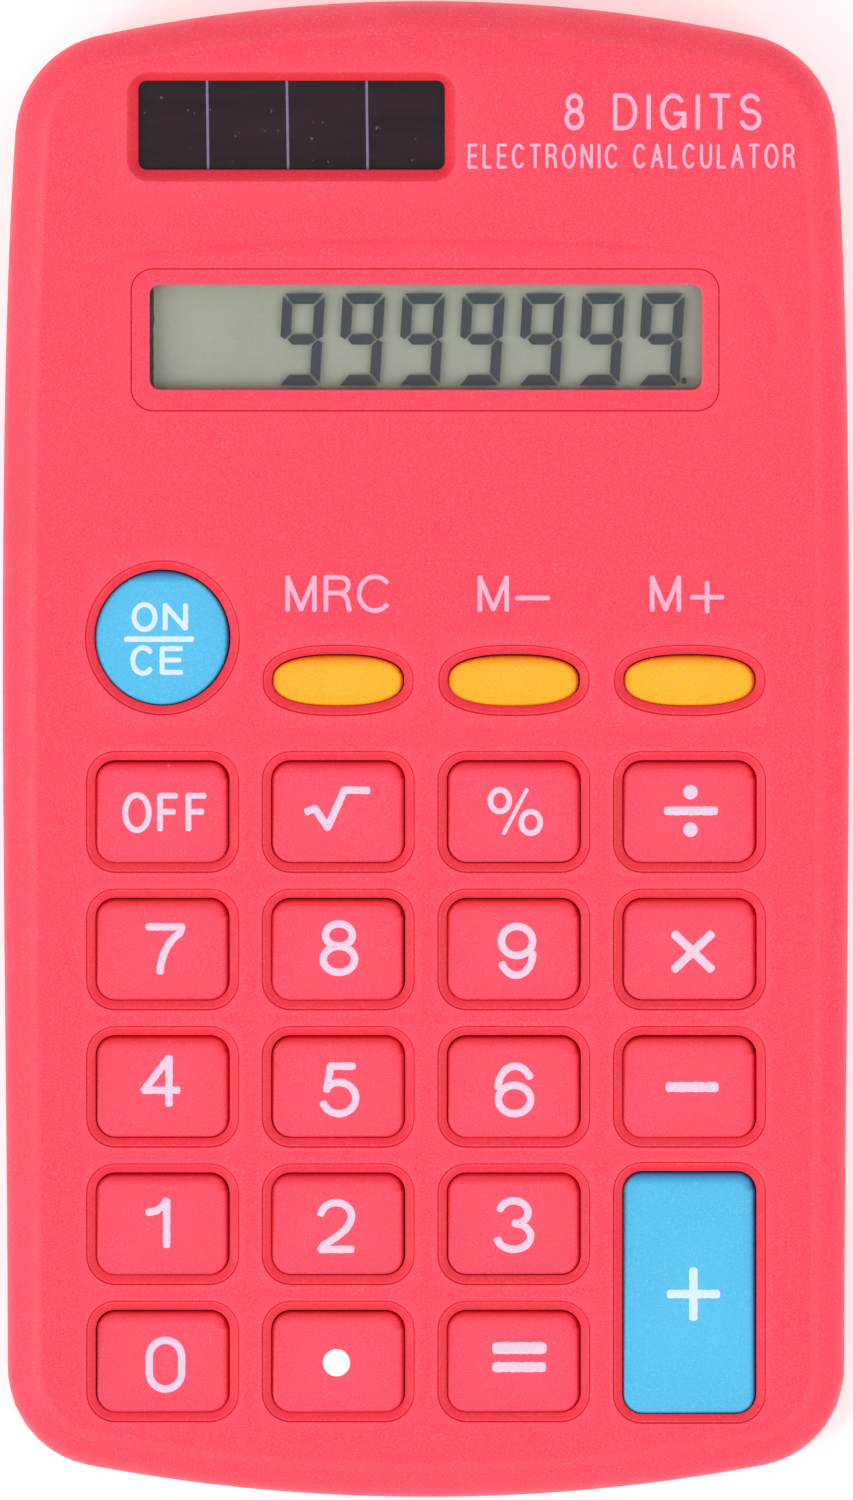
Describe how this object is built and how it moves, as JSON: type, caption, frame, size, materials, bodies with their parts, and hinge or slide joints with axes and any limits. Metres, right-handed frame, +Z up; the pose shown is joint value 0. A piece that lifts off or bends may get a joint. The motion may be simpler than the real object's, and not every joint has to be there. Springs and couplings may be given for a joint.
{
  "type": "pocket calculator",
  "caption": "Wedge-shaped pocket calculator with a tilted display and solar cell, sprung keys, a sliding battery door and a flat resting face.",
  "frame": {"origin": "on the resting face, under the middle of the case", "axes": "+X to the right across the keys, +Y from the key end to the display end, +Z up out of the keys"},
  "size_m": [0.068, 0.12, 0.02],
  "materials": {
    "red_case": "fine spark-eroded satin grain",
    "red_key": "satin moulded",
    "blue_key": "satin moulded",
    "yellow_key": "satin moulded",
    "polarizer_film": "semi-gloss film",
    "lcd_glass": "polished glass sandwich",
    "reflector_film": "satin film",
    "white_plastic": "matt",
    "ribbon_film": "satin film",
    "solar_glass": "polished, dark",
    "foam_rubber": "open foam",
    "silicone": "matt",
    "board_laminate": "green solder mask",
    "epoxy": "glossy blob",
    "capacitor_sleeve": "sleeved can",
    "led_epoxy": "clear tinted",
    "steel": "nickel plated",
    "cell_jacket": "printed jacket",
    "red_lead": "PVC",
    "black_lead": "PVC"
  },
  "bodies": {
    "case": {"front_cover": "red_case", "back_cover": "red_case", "key_membrane": "silicone", "circuit_board": "board_laminate", "chip_blob": "epoxy", "board_capacitor": "capacitor_sleeve", "limiter_led": "led_epoxy", "lcd_front_polarizer": "polarizer_film", "lcd_glass": "lcd_glass", "lcd_rear_reflector": "reflector_film", "lcd_retainer": "white_plastic", "lcd_ribbon": "ribbon_film", "solar_cell": "solar_glass", "solar_pad": "foam_rubber", "battery_cell": "cell_jacket", "battery_contact_positive": "steel", "battery_spring_negative": "steel", "battery_lead_positive": "red_lead", "battery_lead_negative": "black_lead", "solar_lead_positive": "red_lead", "solar_lead_negative": "black_lead", "case_screw_1": "steel", "board_screw_1": "steel", "case_screw_2": "steel", "board_screw_2": "steel", "case_screw_3": "steel", "board_screw_3": "steel", "case_screw_4": "steel", "board_screw_4": "steel"},
    "battery_door": {"battery_door": "red_case"},
    "key_off": {"key_off": "red_key"},
    "key_square_root": {"key_square_root": "red_key"},
    "key_percent": {"key_percent": "red_key"},
    "key_divide": {"key_divide": "red_key"},
    "key_7": {"key_7": "red_key"},
    "key_8": {"key_8": "red_key"},
    "key_9": {"key_9": "red_key"},
    "key_multiply": {"key_multiply": "red_key"},
    "key_4": {"key_4": "red_key"},
    "key_5": {"key_5": "red_key"},
    "key_6": {"key_6": "red_key"},
    "key_minus": {"key_minus": "red_key"},
    "key_1": {"key_1": "red_key"},
    "key_2": {"key_2": "red_key"},
    "key_3": {"key_3": "red_key"},
    "key_0": {"key_0": "red_key"},
    "key_point": {"key_point": "red_key"},
    "key_equals": {"key_equals": "red_key"},
    "key_plus": {"key_plus": "red_key"},
    "key_on_clear": {"key_on_clear": "blue_key"},
    "key_memory_recall": {"key_memory_recall": "yellow_key"},
    "key_memory_subtract": {"key_memory_subtract": "yellow_key"},
    "key_memory_add": {"key_memory_add": "yellow_key"}
  },
  "joints": [
    {"name": "key_off_press", "type": "slide", "parent": "case", "child": "key_off", "axis": [0, 0.0523, -0.9986], "range_m": [0, 0.0008], "stiffness_N_per_m": 600, "springref_m": -0.0003, "deforming": ["key_membrane"]},
    {"name": "key_square_root_press", "type": "slide", "parent": "case", "child": "key_square_root", "axis": [0, 0.0523, -0.9986], "range_m": [0, 0.0008], "stiffness_N_per_m": 600, "springref_m": -0.0003, "deforming": ["key_membrane"]},
    {"name": "key_percent_press", "type": "slide", "parent": "case", "child": "key_percent", "axis": [0, 0.0523, -0.9986], "range_m": [0, 0.0008], "stiffness_N_per_m": 600, "springref_m": -0.0003, "deforming": ["key_membrane"]},
    {"name": "key_divide_press", "type": "slide", "parent": "case", "child": "key_divide", "axis": [0, 0.0523, -0.9986], "range_m": [0, 0.0008], "stiffness_N_per_m": 600, "springref_m": -0.0003, "deforming": ["key_membrane"]},
    {"name": "key_7_press", "type": "slide", "parent": "case", "child": "key_7", "axis": [0, 0.0523, -0.9986], "range_m": [0, 0.0008], "stiffness_N_per_m": 600, "springref_m": -0.0003, "deforming": ["key_membrane"]},
    {"name": "key_8_press", "type": "slide", "parent": "case", "child": "key_8", "axis": [0, 0.0523, -0.9986], "range_m": [0, 0.0008], "stiffness_N_per_m": 600, "springref_m": -0.0003, "deforming": ["key_membrane"]},
    {"name": "key_9_press", "type": "slide", "parent": "case", "child": "key_9", "axis": [0, 0.0523, -0.9986], "range_m": [0, 0.0008], "stiffness_N_per_m": 600, "springref_m": -0.0003, "deforming": ["key_membrane"]},
    {"name": "key_multiply_press", "type": "slide", "parent": "case", "child": "key_multiply", "axis": [0, 0.0523, -0.9986], "range_m": [0, 0.0008], "stiffness_N_per_m": 600, "springref_m": -0.0003, "deforming": ["key_membrane"]},
    {"name": "key_4_press", "type": "slide", "parent": "case", "child": "key_4", "axis": [0, 0.0523, -0.9986], "range_m": [0, 0.0008], "stiffness_N_per_m": 600, "springref_m": -0.0003, "deforming": ["key_membrane"]},
    {"name": "key_5_press", "type": "slide", "parent": "case", "child": "key_5", "axis": [0, 0.0523, -0.9986], "range_m": [0, 0.0008], "stiffness_N_per_m": 600, "springref_m": -0.0003, "deforming": ["key_membrane"]},
    {"name": "key_6_press", "type": "slide", "parent": "case", "child": "key_6", "axis": [0, 0.0523, -0.9986], "range_m": [0, 0.0008], "stiffness_N_per_m": 600, "springref_m": -0.0003, "deforming": ["key_membrane"]},
    {"name": "key_minus_press", "type": "slide", "parent": "case", "child": "key_minus", "axis": [0, 0.0523, -0.9986], "range_m": [0, 0.0008], "stiffness_N_per_m": 600, "springref_m": -0.0003, "deforming": ["key_membrane"]},
    {"name": "key_1_press", "type": "slide", "parent": "case", "child": "key_1", "axis": [0, 0.0523, -0.9986], "range_m": [0, 0.0008], "stiffness_N_per_m": 600, "springref_m": -0.0003, "deforming": ["key_membrane"]},
    {"name": "key_2_press", "type": "slide", "parent": "case", "child": "key_2", "axis": [0, 0.0523, -0.9986], "range_m": [0, 0.0008], "stiffness_N_per_m": 600, "springref_m": -0.0003, "deforming": ["key_membrane"]},
    {"name": "key_3_press", "type": "slide", "parent": "case", "child": "key_3", "axis": [0, 0.0523, -0.9986], "range_m": [0, 0.0008], "stiffness_N_per_m": 600, "springref_m": -0.0003, "deforming": ["key_membrane"]},
    {"name": "key_0_press", "type": "slide", "parent": "case", "child": "key_0", "axis": [0, 0.0523, -0.9986], "range_m": [0, 0.0008], "stiffness_N_per_m": 600, "springref_m": -0.0003, "deforming": ["key_membrane"]},
    {"name": "key_point_press", "type": "slide", "parent": "case", "child": "key_point", "axis": [0, 0.0523, -0.9986], "range_m": [0, 0.0008], "stiffness_N_per_m": 600, "springref_m": -0.0003, "deforming": ["key_membrane"]},
    {"name": "key_equals_press", "type": "slide", "parent": "case", "child": "key_equals", "axis": [0, 0.0523, -0.9986], "range_m": [0, 0.0008], "stiffness_N_per_m": 600, "springref_m": -0.0003, "deforming": ["key_membrane"]},
    {"name": "key_plus_press", "type": "slide", "parent": "case", "child": "key_plus", "axis": [0, 0.0523, -0.9986], "range_m": [0, 0.0008], "stiffness_N_per_m": 600, "springref_m": -0.0003, "deforming": ["key_membrane"]},
    {"name": "key_on_clear_press", "type": "slide", "parent": "case", "child": "key_on_clear", "axis": [0, 0.0523, -0.9986], "range_m": [0, 0.0008], "stiffness_N_per_m": 600, "springref_m": -0.0003, "deforming": ["key_membrane"]},
    {"name": "key_memory_recall_press", "type": "slide", "parent": "case", "child": "key_memory_recall", "axis": [0, 0.0523, -0.9986], "range_m": [0, 0.0008], "stiffness_N_per_m": 600, "springref_m": -0.0003, "deforming": ["key_membrane"]},
    {"name": "key_memory_subtract_press", "type": "slide", "parent": "case", "child": "key_memory_subtract", "axis": [0, 0.0523, -0.9986], "range_m": [0, 0.0008], "stiffness_N_per_m": 600, "springref_m": -0.0003, "deforming": ["key_membrane"]},
    {"name": "key_memory_add_press", "type": "slide", "parent": "case", "child": "key_memory_add", "axis": [0, 0.0523, -0.9986], "range_m": [0, 0.0008], "stiffness_N_per_m": 600, "springref_m": -0.0003, "deforming": ["key_membrane"]},
    {"name": "battery_door_slide", "type": "slide", "parent": "case", "child": "battery_door", "axis": [0, 1, 0], "range_m": [0, 0.026]}
  ]
}
